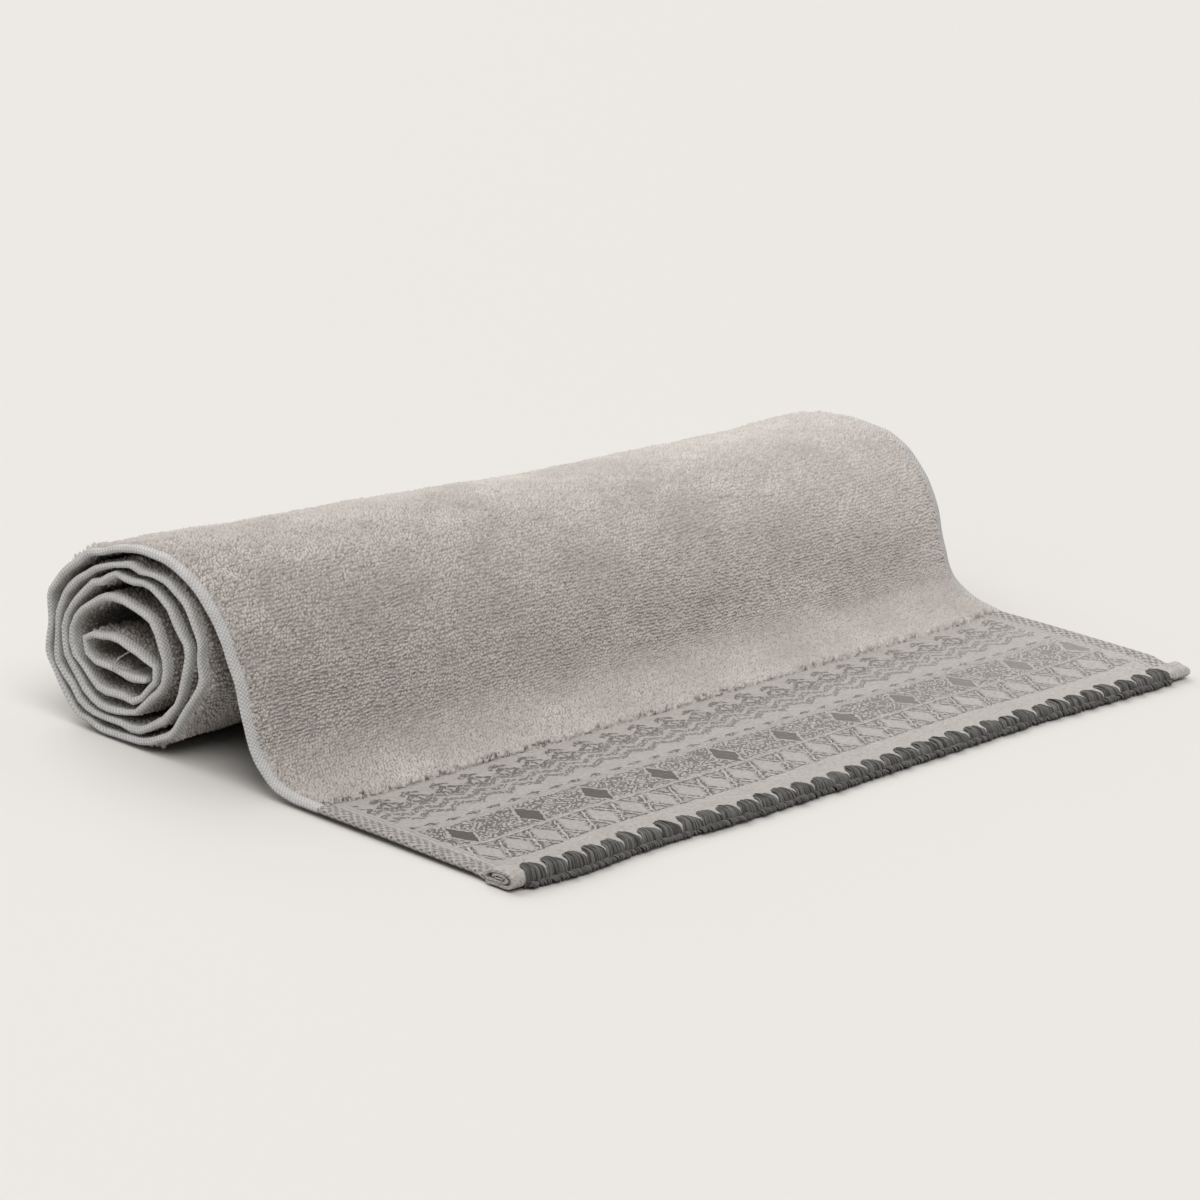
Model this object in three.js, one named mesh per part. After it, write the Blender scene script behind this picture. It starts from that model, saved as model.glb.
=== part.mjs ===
import * as THREE from 'three';

// A terry hand towel, rolled up from its far end. The bordered end comes off the top of the roll,
// drops down its front and lies flat. Millimetres, +Z up. X runs along the roll, and the bordered
// hem lies to the front, at -Y. Up to the last lines, Y is counted from that hem's edge.

// Driving sizes
const towelWidth = 400; // from side edge to side edge, along the roll
const pileThick = 4.3; // terry, with loops on both faces
const pileUnder = 0.7; // how far the loops stand below the hem's inner face
const woundThick = 3.4; // terry pressed between the turns
const woundLong = 500; // how much of the cloth lies under the outer turn
const woundStep = 30;
const hemThick = 2.4; // cloth folded over along the sides and the inner end
const borderThick = 2.1; // the flat woven border
const sideHemWide = 5;
const endHemWide = 12;
const borderLong = 105; // hem edge to the first terry loops
const foldStep = 1.2; // length over which the thickness changes
const edgeRound = 0.6; // how far each face draws in at an edge
const sideCurl = 1.6; // how far the lying side edges lift at the most
const curlWide = 32;
const flatLong = 132; // hem edge to where the cloth has left the surface

// The roll's far end is lower than its near end and further forward
const farSink = 10.7;
const farForward = 6;
const sinkLow = 24; // height above which the turns sink
const sinkTall = 33; // and over how much height they sink more and more

// Dark yarn stitched over the bordered hem
const yarnThick = 0.8;
const underYarnThick = 0.7;
const yarnGap = 0.35; // between yarn and cloth
const stitchCount = 36;
const stitchStart = -194.4;
const stitchEnd = 184;
const stitchReach = 8.6; // from the hem's edge back over the hem
const bandReach = 1.6; // the same between two stitches
const underReach = 6.4; // the same under the hem
const stitchLean = 0.3; // how far a stitch leans to +X for each step back
const stitchRows = [
  { part: 'between', share: 0, fullness: 0 },
  { part: 'near flank', share: 0.2, fullness: 0.78 },
  { part: 'tip', share: 0.5, fullness: 1 },
  { part: 'far flank', share: 0.8, fullness: 0.78 },
];
const hemLift = underYarnThick + yarnGap; // the yarn holds the hem off the surface
const innerSlant = 1; // the yarn is drawn over the hem's front edge at a slant
const outerSlant = 1.6;

// The inner face of the cloth at its two ends, from the flat part up the front of the roll
const dropRows = [
  { place: 'first loops', nearY: 105, nearZ: 0, farY: 105, farZ: 0 },
  { place: 'heel', nearY: 119.2, nearZ: 1.2, farY: 119.2, farZ: 3.4 },
  { place: 'foot', nearY: 132.5, nearZ: 5.4, farY: 131.6, farZ: 9.6 },
  { place: 'ankle', nearY: 142.4, nearZ: 14.4, farY: 137.2, farZ: 16.4 },
  { place: 'shin', nearY: 148, nearZ: 26.8, farY: 140.8, farZ: 27.2 },
  { place: 'front', nearY: 154.4, nearZ: 43.2, farY: 145.3, farZ: 41.1 },
  { place: 'shoulder', nearY: 165.6, nearZ: 61.2, farY: 155, farZ: 56.6 },
  { place: 'brow', nearY: 180.4, nearZ: 74.2, farY: 170.6, farZ: 67 },
  { place: 'crest', nearY: 199.2, nearZ: 80.3, farY: 187, farZ: 69.6 },
];

// Inner face of each turn at the near end, at its highest, hindmost, lowest and foremost points.
// The core's last point is the inner end of the towel, which lies straight.
const turnRows = [
  { turn: 'outer', topY: 199.2, topZ: 80.3, backY: 264.2, backZ: 40.8, lowY: 227.2, lowZ: 2.9,
    frontY: 174, frontZ: 42.4, steps: 8 },
  { turn: 'second', topY: 205.6, topZ: 72.5, backY: 258.7, backZ: 36.8, lowY: 224.8, lowZ: 8.2,
    frontY: 181.8, frontZ: 40.4, steps: 7 },
  { turn: 'third', topY: 209.6, topZ: 66.9, backY: 253.3, backZ: 35.2, lowY: 227.2, lowZ: 13.8,
    frontY: 194.7, frontZ: 40, steps: 7 },
  { turn: 'fourth', topY: 224, topZ: 57, backY: 248.3, backZ: 36.8, lowY: 227.2, lowZ: 18.9,
    frontY: 200.8, frontZ: 34.1, steps: 6 },
  { turn: 'core', topY: 236.8, topZ: 40.3, backY: 241.6, backZ: 35.7, lowY: 235.2, lowZ: 30.9,
    frontY: 205.6, frontZ: 29.8, steps: 4 },
];
const dropSteps = 18;

// How the towel wanders along the roll: the hem forward or back, the top up or down, and how much
// thicker the bordered hem is than the others, as it is rolled over twice
const alongRows = [
  { from: -200, hemY: -1.8, rise: 0.5, rolled: 3.2 },
  { from: -168, hemY: -3.4, rise: 0.3, rolled: 2.8 },
  { from: -128, hemY: -0.5, rise: -1.4, rolled: 2 },
  { from: -72, hemY: -2.2, rise: -1.8, rolled: 1.5 },
  { from: -24, hemY: -1.3, rise: -3, rolled: 1.3 },
  { from: 32, hemY: 0.3, rise: -4.4, rolled: 1.3 },
  { from: 96, hemY: 1.5, rise: -3.5, rolled: 1.2 },
  { from: 152, hemY: 0.2, rise: -3, rolled: 1.2 },
  { from: 200, hemY: -1.2, rise: 0, rolled: 2 },
];
const cornerDraw = 3.4; // how far the far corner is drawn in
const cornerWide = 12;

// How far the cloth's two faces stand above that inner face, by the distance from an edge
const sideRows = [
  { from: 0, low: edgeRound, high: hemThick - edgeRound },
  { from: edgeRound, low: 0, high: hemThick },
  { from: sideHemWide, low: 0, high: hemThick },
  { from: sideHemWide + foldStep, low: -pileUnder, high: pileThick - pileUnder },
];
const innerEndRows = [
  { from: 0, low: edgeRound, high: hemThick - edgeRound },
  { from: edgeRound, low: 0, high: hemThick },
  { from: endHemWide, low: 0, high: hemThick },
  { from: endHemWide + foldStep, low: -pileUnder, high: woundThick - pileUnder },
  { from: woundLong, low: -pileUnder, high: woundThick - pileUnder },
  { from: woundLong + woundStep, low: -pileUnder, high: pileThick - pileUnder },
];
// Rolled is the share of the bordered hem's further thickness
const hemEndRows = [
  { from: 0, low: edgeRound, high: hemThick - edgeRound, rolled: 0.35 },
  { from: edgeRound, low: 0, high: hemThick, rolled: 0.6 },
  { from: 2.4, low: 0, high: hemThick, rolled: 0.92 },
  { from: 9, low: 0, high: hemThick, rolled: 1 },
  { from: endHemWide, low: 0, high: hemThick, rolled: 0.75 },
  { from: endHemWide + foldStep, low: 0, high: borderThick, rolled: 0 },
  { from: borderLong, low: 0, high: borderThick, rolled: 0 },
  { from: borderLong + foldStep, low: -pileUnder, high: pileThick - pileUnder, rolled: 0 },
];
const borderPlaces = [38, 62, 86]; // plain rows across the border

const { lerp, clamp, smoothstep } = THREE.MathUtils;

// A value from a table, straight between its rows
function readRows(rows, column, at) {
  const next = rows.findIndex((row) => row.from >= at);
  if (next < 0) return rows[rows.length - 1][column];
  if (next === 0) return rows[0][column];
  const share = (at - rows[next - 1].from) / (rows[next].from - rows[next - 1].from);
  return lerp(rows[next - 1][column], rows[next][column], share);
}

// A quarter of an oval from one of a turn's points to the next, without the first point itself
function quarter(from, to, steps, leavesLevel) {
  return Array.from({ length: steps }, (_, i) => {
    const angle = ((i + 1) / steps) * Math.PI / 2;
    const straightOn = Math.sin(angle);
    const turning = 1 - Math.cos(angle);
    return {
      y: lerp(from.y, to.y, leavesLevel ? straightOn : turning),
      z: lerp(from.z, to.z, leavesLevel ? turning : straightOn),
    };
  });
}

// Points between two places, at the given distances from the second one, and that place itself
function straight(from, to, distances) {
  const long = Math.hypot(to.y - from.y, to.z - from.z);
  return distances.map((distance) => {
    const share = 1 - distance / long;
    return { y: lerp(from.y, to.y, share), z: lerp(from.z, to.z, share) };
  });
}

// Towards the far end the turns sink and come forward
function turnPoint(row, name, share) {
  const z = row[name + 'Z'];
  return {
    y: row[name + 'Y'] - share * farForward,
    z: z - share * farSink * clamp((z - sinkLow) / sinkTall, 0, 1),
  };
}

// The line of the cloth's inner face from the bordered hem to the inner end. Share is 0 at the
// near end and 1 at the far end.
function sectionLine(share) {
  const flatPlaces = hemEndRows.slice(0, 6).map((row) => row.from).concat(borderPlaces);
  const line = flatPlaces.map((y) => ({ y, z: y <= endHemWide ? hemLift : 0 }));

  const drop = new THREE.CatmullRomCurve3(dropRows.map((row) => new THREE.Vector3(
    0, lerp(row.nearY, row.farY, share), lerp(row.nearZ, row.farZ, share))));
  line.push(...drop.getPoints(dropSteps).map(({ y, z }) => ({ y, z })));
  line.splice(flatPlaces.length + 1, 0, { y: borderLong + foldStep, z: 0 });

  const tailPlaces = innerEndRows.slice(0, 4).map((row) => row.from).reverse();
  let here = line[line.length - 1];
  for (const row of turnRows) {
    const top = turnPoint(row, 'top', share);
    const back = turnPoint(row, 'back', share);
    const low = turnPoint(row, 'low', share);
    const front = turnPoint(row, 'front', share);
    if (row.turn !== 'outer') line.push(...quarter(here, top, row.steps, false));
    line.push(...quarter(row.turn === 'outer' ? here : top, back, row.steps, true));
    line.push(...quarter(back, low, row.steps, false));
    if (row.turn === 'core') line.push(...straight(low, front, tailPlaces));
    else line.push(...quarter(low, front, row.steps, true));
    here = front;
  }
  return line;
}

// Distance of each point of a line from its start
function distancesAlong(line) {
  const distances = [0];
  for (let i = 1; i < line.length; i++) {
    distances.push(distances[i - 1] + Math.hypot(line[i].y - line[i - 1].y, line[i].z - line[i - 1].z));
  }
  return distances;
}

// Which way is out of the roll at a point of a line
function outwardAt(line, i) {
  const before = line[Math.max(i - 1, 0)];
  const after = line[Math.min(i + 1, line.length - 1)];
  const long = Math.hypot(after.y - before.y, after.z - before.z);
  return { y: -(after.z - before.z) / long, z: (after.y - before.y) / long };
}

// A point of the cloth, moved as the hem, the lying side edges and the top wander, and pressed
// flat where it would reach below the surface
function settled(x, y, z) {
  const nearHem = 1 - smoothstep(y, endHemWide, borderLong);
  const nearSide = smoothstep(Math.abs(x), towelWidth / 2 - curlWide, towelWidth / 2);
  const lying = smoothstep(y, endHemWide, 2 * endHemWide) - smoothstep(y, borderLong, flatLong);
  const rise = readRows(alongRows, 'rise', x) * z / turnRows[0].topZ;
  const farCorner = smoothstep(x, towelWidth / 2 - cornerWide, towelWidth / 2)
    * (1 - smoothstep(y, 0, cornerWide));
  return new THREE.Vector3(
    x - cornerDraw * farCorner,
    y + readRows(alongRows, 'hemY', x) * nearHem,
    Math.max(0, z + rise + sideCurl * nearSide * lying),
  );
}

// Rows of points as a closed body: the upper and under faces and the four edges between them
function closedSheet(upper, under) {
  const rows = upper.length;
  const columns = upper[0].length;
  const positions = [...upper.flat(), ...under.flat()].flatMap((point) => point.toArray());
  const top = (i, j) => i * columns + j;
  const bottom = (i, j) => rows * columns + i * columns + j;
  const faces = [];
  const face = (a, b, c, d) => faces.push(a, b, c, a, c, d);
  for (let i = 0; i < rows - 1; i++) {
    for (let j = 0; j < columns - 1; j++) {
      face(top(i, j), top(i, j + 1), top(i + 1, j + 1), top(i + 1, j));
      face(bottom(i, j), bottom(i + 1, j), bottom(i + 1, j + 1), bottom(i, j + 1));
    }
    const last = columns - 1;
    face(top(i, 0), top(i + 1, 0), bottom(i + 1, 0), bottom(i, 0));
    face(top(i, last), bottom(i, last), bottom(i + 1, last), top(i + 1, last));
  }
  for (let j = 0; j < columns - 1; j++) {
    const last = rows - 1;
    face(top(0, j), bottom(0, j), bottom(0, j + 1), top(0, j + 1));
    face(top(last, j), top(last, j + 1), bottom(last, j + 1), bottom(last, j));
  }
  return bodyOf(positions, faces);
}

// A section carried through its stations along +X, each a list of points, with flat ends
function throughStations(stations) {
  const points = stations[0].length;
  const positions = stations.flat().flatMap((point) => point.toArray());
  const at = (station, k) => station * points + (k % points);
  const faces = [];
  for (let s = 0; s < stations.length - 1; s++) {
    for (let k = 0; k < points; k++) {
      faces.push(at(s, k), at(s, k + 1), at(s + 1, k + 1), at(s, k), at(s + 1, k + 1), at(s + 1, k));
    }
  }
  const outline = stations[0].map((point) => new THREE.Vector2(point.y, point.z));
  const last = stations.length - 1;
  for (const [a, b, c] of THREE.ShapeUtils.triangulateShape(outline, [])) {
    faces.push(at(0, a), at(0, c), at(0, b), at(last, a), at(last, b), at(last, c));
  }
  return bodyOf(positions, faces);
}

function bodyOf(positions, faces) {
  const geometry = new THREE.BufferGeometry();
  geometry.setAttribute('position', new THREE.Float32BufferAttribute(positions, 3));
  geometry.setIndex(faces);
  geometry.computeVertexNormals();
  return geometry;
}

function makeTowel() {
  const nearLine = sectionLine(0);
  const along = distancesAlong(nearLine);
  const clothLong = along[along.length - 1];
  const half = towelWidth / 2;
  const edgePlaces = sideRows.map((row) => half - row.from);
  const middlePlaces = alongRows.slice(1, -1).map((row) => row.from);
  const columns = [...edgePlaces.map((x) => -x), ...middlePlaces, ...edgePlaces.reverse()];
  const lines = columns.map((x) => sectionLine((x + half) / towelWidth));

  const faceOf = (column, pick, rolledShare) => nearLine.map((_, i) => columns.map((x, j) => {
    const line = lines[j];
    const out = outwardAt(line, i);
    const rolled = readRows(alongRows, 'rolled', x) * readRows(hemEndRows, 'rolled', along[i]);
    const off = rolled * rolledShare + pick(
      readRows(sideRows, column, half - Math.abs(x)),
      readRows(hemEndRows, column, along[i]),
      readRows(innerEndRows, column, clothLong - along[i]),
    );
    return settled(x, line[i].y + out.y * off, line[i].z + out.z * off);
  }));
  const material = new THREE.MeshStandardMaterial({ color: 0xb6b0ab, roughness: 0.95, metalness: 0 });
  const sheet = closedSheet(faceOf('high', Math.min, 1), faceOf('low', Math.max, 0));
  const towel = new THREE.Mesh(sheet, material);
  towel.name = 'towel';
  return towel;
}

function makeEdgeStitches() {
  const pitch = (stitchEnd - stitchStart) / stitchCount;
  const front = -yarnGap - yarnThick;
  const station = (x, fullness) => {
    const leaning = (y, z) => settled(x + stitchLean * Math.max(y, 0), y, z);
    const reach = lerp(bandReach, stitchReach, fullness);
    const onTop = hemLift + hemThick + readRows(alongRows, 'rolled', x + stitchLean * reach) + yarnGap;
    const top = onTop + yarnThick;
    return [
      leaning(underReach, 0), leaning(underReach, underYarnThick), leaning(-yarnGap, underYarnThick),
      leaning(-yarnGap, onTop - innerSlant), leaning(innerSlant - yarnGap, onTop), leaning(reach, onTop),
      leaning(reach, onTop + yarnThick / 2), leaning(reach - yarnThick, top),
      leaning(front + outerSlant, top), leaning(front, top - outerSlant - yarnGap),
      leaning(front, yarnThick), leaning(front + yarnThick, 0),
    ];
  };
  const stations = [];
  for (let stitch = 0; stitch < stitchCount; stitch++) {
    for (const row of stitchRows) {
      stations.push(station(stitchStart + (stitch + row.share) * pitch, row.fullness));
    }
  }
  stations.push(station(stitchEnd, 0));
  const material = new THREE.MeshStandardMaterial({ color: 0x55534f, roughness: 0.9, metalness: 0 });
  const stitches = new THREE.Mesh(throughStations(stations), material);
  stitches.name = 'edge_stitches';
  return stitches;
}

const group = new THREE.Group();
group.add(makeTowel(), makeEdgeStitches());

// The origin is under the middle of the whole towel, on the surface that it lies on
const box = new THREE.Box3().setFromObject(group);
group.position.set(-(box.min.x + box.max.x) / 2, -(box.min.y + box.max.y) / 2, -box.min.z);

export default group;
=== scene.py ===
import math
import bmesh
import bpy
import numpy as np
from mathutils import Matrix, Vector


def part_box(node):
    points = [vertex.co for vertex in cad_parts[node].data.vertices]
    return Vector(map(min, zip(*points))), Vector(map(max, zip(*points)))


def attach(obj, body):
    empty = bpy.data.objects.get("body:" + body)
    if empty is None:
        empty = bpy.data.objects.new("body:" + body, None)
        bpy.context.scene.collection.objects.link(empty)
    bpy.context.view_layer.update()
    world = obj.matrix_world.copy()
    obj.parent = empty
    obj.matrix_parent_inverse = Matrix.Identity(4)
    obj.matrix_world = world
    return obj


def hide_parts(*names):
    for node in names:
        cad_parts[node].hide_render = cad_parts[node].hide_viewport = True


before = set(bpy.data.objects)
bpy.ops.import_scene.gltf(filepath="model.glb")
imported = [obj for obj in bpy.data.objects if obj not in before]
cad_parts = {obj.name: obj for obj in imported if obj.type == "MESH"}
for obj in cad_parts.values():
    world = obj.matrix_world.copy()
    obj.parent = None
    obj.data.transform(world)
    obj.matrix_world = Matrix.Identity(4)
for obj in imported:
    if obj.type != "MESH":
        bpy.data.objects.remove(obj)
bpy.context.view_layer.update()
print("frame loaded")

# A terry hand towel, rolled up from its far end. Tables and settings are in millimetres. The cloth is
# made as a flat pattern: u runs across it from side to side, v along it from the bordered hem, and h
# stands off its inner face. rollUp then lays the pattern in its rolled form.
mm = 0.001

towel = dict(
    width=400.0,
    hemThick=2.4, borderThick=2.1, pileThick=4.3, pileUnder=0.7, woundThick=3.4,
    foldLow=-0.3, foldHigh=2.6,  # the folded side hems, puffier than where they were pressed
    sideHemWide=4.6, endHemWide=12.0, borderLong=105.0, foldStep=1.0,
    woundLong=500.0, woundStep=30.0,
    hemLift=1.05, rollRound=3.0, sideRound=1.2, cornerDraw=3.4, cornerWide=12.0,
    sideCurl=1.6, curlWide=32.0, flatLong=132.0,
    farSink=10.7, farForward=6.0, sinkLow=24.0, sinkTall=33.0,
    ovalSteps=26, smoothing=4,
)

# the inner face at the near and far ends: y and z, from the flat part up the front of the roll
dropRows = [
    dict(place="first loops", near=(105.0, 0.0), far=(105.0, 0.0)),
    dict(place="heel", near=(119.2, 1.2), far=(119.2, 3.4)),
    dict(place="foot", near=(132.5, 5.4), far=(131.6, 9.6)),
    dict(place="ankle", near=(142.4, 14.4), far=(137.2, 16.4)),
    dict(place="shin", near=(148.0, 26.8), far=(140.8, 27.2)),
    dict(place="front", near=(154.4, 43.2), far=(145.3, 41.1)),
    dict(place="shoulder", near=(165.6, 61.2), far=(155.0, 56.6)),
    dict(place="brow", near=(180.4, 74.2), far=(170.6, 67.0)),
    dict(place="crest", near=(199.2, 80.3), far=(187.0, 69.6)),
]

# each turn's inner face at its highest, hindmost, lowest and foremost points, at the near end
turnRows = [
    dict(turn="outer", top=(199.2, 80.3), back=(264.2, 40.8), low=(227.2, 2.9), front=(174.0, 42.4)),
    dict(turn="second", top=(205.6, 72.5), back=(258.7, 36.8), low=(224.8, 8.2), front=(181.8, 40.4)),
    dict(turn="third", top=(209.6, 66.9), back=(253.3, 35.2), low=(227.2, 13.8), front=(194.7, 40.0)),
    dict(turn="fourth", top=(224.0, 57.0), back=(248.3, 36.8), low=(227.2, 18.9), front=(200.8, 34.1)),
    dict(turn="core", top=(236.8, 40.3), back=(241.6, 35.7), low=(235.2, 30.9), front=(205.6, 29.8)),
]

# along the roll: how far the hem lies forward or back, how much the top rises, and how much thicker
# than the other hems the bordered one is, as it is rolled over twice
alongRows = [
    dict(at=-200.0, hem=-1.8, rise=0.5, rolled=3.2),
    dict(at=-168.0, hem=-3.4, rise=0.3, rolled=2.8),
    dict(at=-128.0, hem=-0.5, rise=-1.4, rolled=2.0),
    dict(at=-72.0, hem=-2.2, rise=-1.8, rolled=1.5),
    dict(at=-24.0, hem=-1.3, rise=-3.0, rolled=1.3),
    dict(at=32.0, hem=0.3, rise=-4.4, rolled=1.3),
    dict(at=96.0, hem=1.5, rise=-3.5, rolled=1.2),
    dict(at=152.0, hem=0.2, rise=-3.0, rolled=1.2),
    dict(at=200.0, hem=-1.2, rise=0.0, rolled=2.0),
]

# dents in the roll's near end: where each lies in the section, how wide it is and how far it pushes
dentRows = [
    dict(place="back, middle", y=264.0, z=38.0, wide=5.0, push=(-1.6, 0.0)),
    dict(place="back, lower", y=264.0, z=27.0, wide=5.0, push=(1.3, -0.3)),
    dict(place="low, front", y=204.0, z=9.0, wide=6.0, push=(0.3, -0.9)),
    dict(place="low, middle", y=214.0, z=10.0, wide=5.0, push=(0.0, 1.5)),
    dict(place="front, upper", y=180.0, z=48.0, wide=6.0, push=(-1.3, 0.4)),
    dict(place="front, lower", y=183.0, z=38.0, wide=6.0, push=(1.0, 0.0)),
    dict(place="core, front", y=205.0, z=24.0, wide=4.0, push=(-0.6, 0.9)),
]
dentLong = 22.0  # how far along the roll they fade
unevenness = dict(
    turns=1.5, turnCell=11.0, cloth=1.0, clothCell=8.0, border=0.7, borderCell=36.0,
    outside=0.3,  # the share of the turns' and the cloth's unevenness that the drop and the crest have
)
half = towel["width"] / 2
furthestForward = min(row["hem"] for row in alongRows)
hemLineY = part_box("towel")[0].y / mm - furthestForward  # where v = 0 lies in the frame


def ease(x, low, high):
    t = np.clip((x - low) / (high - low), 0, 1)
    return t * t * (3 - 2 * t)


def alongValue(name, u):  # a value of alongRows, eased from place to place
    places = [row["at"] for row in alongRows]
    steps = np.interp(u, places, range(len(places)))
    whole = np.minimum(steps.astype(int), len(places) - 2)
    values = np.array([row[name] for row in alongRows])
    part = steps - whole
    share = 0.5 * part + 0.5 * ease(part, 0, 1)
    return values[whole] + (values[whole + 1] - values[whole]) * share


def quarterOval(start, end, leavesLevel):
    angle = np.linspace(0, math.pi / 2, towel["ovalSteps"] + 1)[1:]
    straightOn, turning = np.sin(angle), 1 - np.cos(angle)
    along, across = (straightOn, turning) if leavesLevel else (turning, straightOn)
    return np.stack([start[0] + (end[0] - start[0]) * along, start[1] + (end[1] - start[1]) * across], 1)


def throughPoints(points, steps):  # a smooth curve through a table's points
    points = np.array(points)
    padded = np.vstack([2 * points[0] - points[1], points, 2 * points[-1] - points[-2]])
    t = np.linspace(0, 1, steps, endpoint=False)[:, None]
    parts = []
    for i in range(1, len(padded) - 2):
        before, here, after, later = padded[i - 1:i + 3]
        parts.append(0.5 * (2 * here + (after - before) * t
                            + (2 * before - 5 * here + 4 * after - later) * t ** 2
                            + (3 * here - before - 3 * after + later) * t ** 3))
    return np.vstack(parts + [points[-1:]])


def sectionLine(share):  # the inner face's line, near end at 0 and far end at 1
    def placed(point):
        y, z = point
        sink = np.clip((z - towel["sinkLow"]) / towel["sinkTall"], 0, 1) * towel["farSink"]
        return y - share * towel["farForward"], z - share * sink

    flatY = np.linspace(-12.0, towel["borderLong"], 100, endpoint=False)
    lift = towel["hemLift"] * (1 - ease(flatY, towel["endHemWide"], towel["endHemWide"] + 4))
    drop = [np.array(row["near"]) * (1 - share) + np.array(row["far"]) * share for row in dropRows]
    parts = [np.stack([flatY, lift], 1), throughPoints(drop, 12)]
    here = drop[-1]
    for row in turnRows:
        top, back, low, front = (placed(row[name]) for name in ("top", "back", "low", "front"))
        if row["turn"] != "outer":
            parts.append(quarterOval(here, top, False))
        parts.append(quarterOval(here if row["turn"] == "outer" else top, back, True))
        parts.append(quarterOval(back, low, False))
        if row["turn"] == "core":
            shares = np.linspace(0, 1, towel["ovalSteps"] + 1)[1:, None]
            parts.append(np.array(low) * (1 - shares) + np.array(front) * shares)
        else:
            parts.append(quarterOval(low, front, True))
        here = front
    line = np.vstack(parts)
    for _ in range(towel["smoothing"]):
        line[1:-1] = (line[:-2] + 2 * line[1:-1] + line[2:]) / 4
    return line


nearLine, farLine = sectionLine(0), sectionLine(1)
alongLine = np.append(0, np.cumsum(np.hypot(*np.diff(nearLine, axis=0).T)))
alongLine += nearLine[0, 0]  # v is counted from the hem's edge
clothLong = alongLine[-1]
endTurns = [np.gradient(line, axis=0) for line in (nearLine, farLine)]
outerTurn = alongLine[np.argmax(nearLine[:, 1])], alongLine[np.argmax(nearLine[:, 0])]  # crest to back
print("cloth line", round(clothLong), "mm at the near end")


def softNoise(u, v, cell, seed):  # smooth lumps between -1 and 1, about one for each cell
    rng = np.random.default_rng(seed)
    grid = rng.uniform(-1, 1, (256, 256))
    x, y = u / cell + 300.0, v / cell + 300.0
    i, j = np.floor(x).astype(int), np.floor(y).astype(int)
    s, t = ease(x - i, 0, 1), ease(y - j, 0, 1)
    corner = lambda a, b: grid[(i + a) % 256, (j + b) % 256]
    return ((corner(0, 0) * (1 - s) + corner(1, 0) * s) * (1 - t)
            + (corner(0, 1) * (1 - s) + corner(1, 1) * s) * t)


def rollUp(pattern):  # from the flat pattern's u, v and h to metres in the frame
    u, v, h = pattern.T
    share = np.clip((u + half) / towel["width"], 0, 1)
    mixed = lambda near, far: (np.interp(v, alongLine, near) * (1 - share)
                               + np.interp(v, alongLine, far) * share)
    y, z = (mixed(nearLine[:, k], farLine[:, k]) for k in (0, 1))
    turnY, turnZ = (mixed(endTurns[0][:, k], endTurns[1][:, k]) for k in (0, 1))
    long = np.hypot(turnY, turnZ)
    atEnds = np.exp(-((half - np.abs(u)) / dentLong) ** 2) * ease(v, towel["borderLong"], towel["flatLong"])
    aside = np.sign(u) * 400
    wound = unevenness["outside"] + (1 - unevenness["outside"]) * ease(v, *outerTurn)
    atEnds = atEnds * wound
    h = h + unevenness["cloth"] * atEnds * softNoise(aside, v, unevenness["clothCell"], 94)
    y, z = y - turnZ / long * h, z + turnY / long * h
    nearHem = 1 - ease(y, towel["endHemWide"], towel["borderLong"])
    nearSide = ease(np.abs(u), half - towel["curlWide"], half)
    lying = (ease(y, towel["endHemWide"], 2 * towel["endHemWide"])
             - ease(y, towel["borderLong"], towel["flatLong"]))
    flatY, flatZ = y, z
    for row in dentRows:
        reach = ((flatY - row["y"]) ** 2 + (flatZ - row["z"]) ** 2) / row["wide"] ** 2
        strength = np.exp(-reach - ((u + half) / dentLong) ** 2)
        y, z = y + row["push"][0] * strength, z + row["push"][1] * strength
    y = y + unevenness["turns"] * atEnds * softNoise(flatY + aside, flatZ, unevenness["turnCell"], 91)
    z = z + unevenness["turns"] * atEnds * softNoise(flatY + aside, flatZ, unevenness["turnCell"], 92)
    waves = 0.5 + 0.5 * softNoise(u, v, unevenness["borderCell"], 93)
    z = z + unevenness["border"] * waves * lying
    z = z + alongValue("rise", u) * z / turnRows[0]["top"][1] + towel["sideCurl"] * nearSide * lying
    farCorner = ease(u, half - towel["cornerWide"], half) * (1 - ease(y, 0, towel["cornerWide"]))
    y = y + alongValue("hem", u) * nearHem + hemLineY
    return np.stack([u - towel["cornerDraw"] * farCorner, y, np.maximum(z, 0.05)], 1) * mm


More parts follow.
